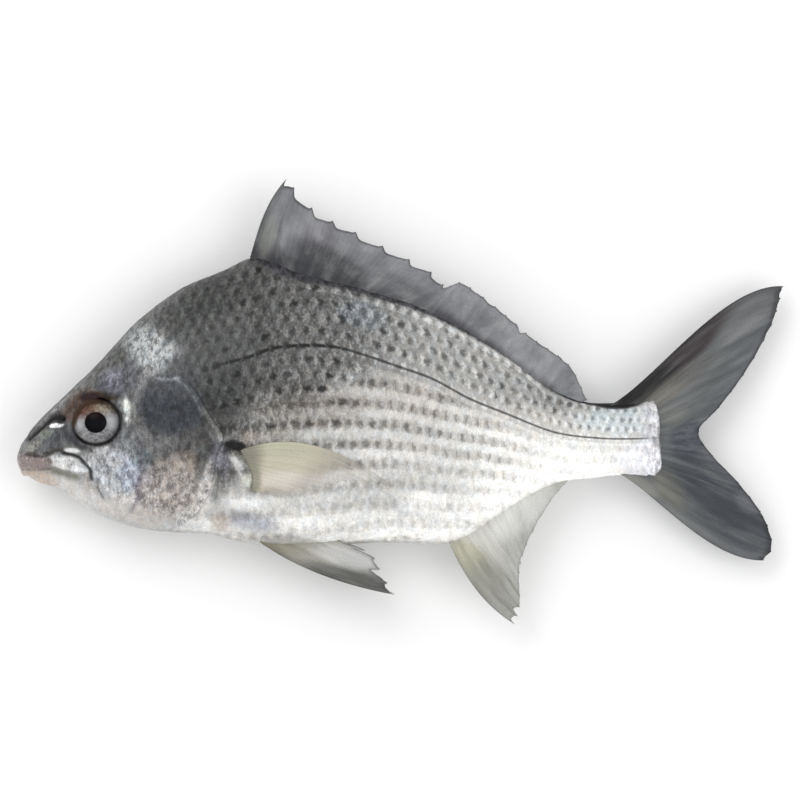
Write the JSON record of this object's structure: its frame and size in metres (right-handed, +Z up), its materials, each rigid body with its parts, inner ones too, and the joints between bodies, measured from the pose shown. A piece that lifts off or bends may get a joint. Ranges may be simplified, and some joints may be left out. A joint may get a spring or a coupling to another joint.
{
  "type": "whole raw fish",
  "caption": "Whole raw silver sea bream lying on its side, with scales, gill covers, raised spiny back fin and forked tail.",
  "frame": {"origin": "under the middle of the fish's bounding box, on the surface that it lies on", "axes": "+X from the snout to the tail, +Y from the belly to the back, +Z up, out of the left flank"},
  "size_m": [0.28, 0.1606, 0.0404],
  "materials": {
    "skin": "wet silver-grey scales, dark back, pale belly",
    "eye": "clear wet eye with a black pupil and a silver ring"
  },
  "bodies": {
    "root": {"fish": "skin", "eye_left": "eye", "eye_right": "eye"}
  },
  "joints": []
}
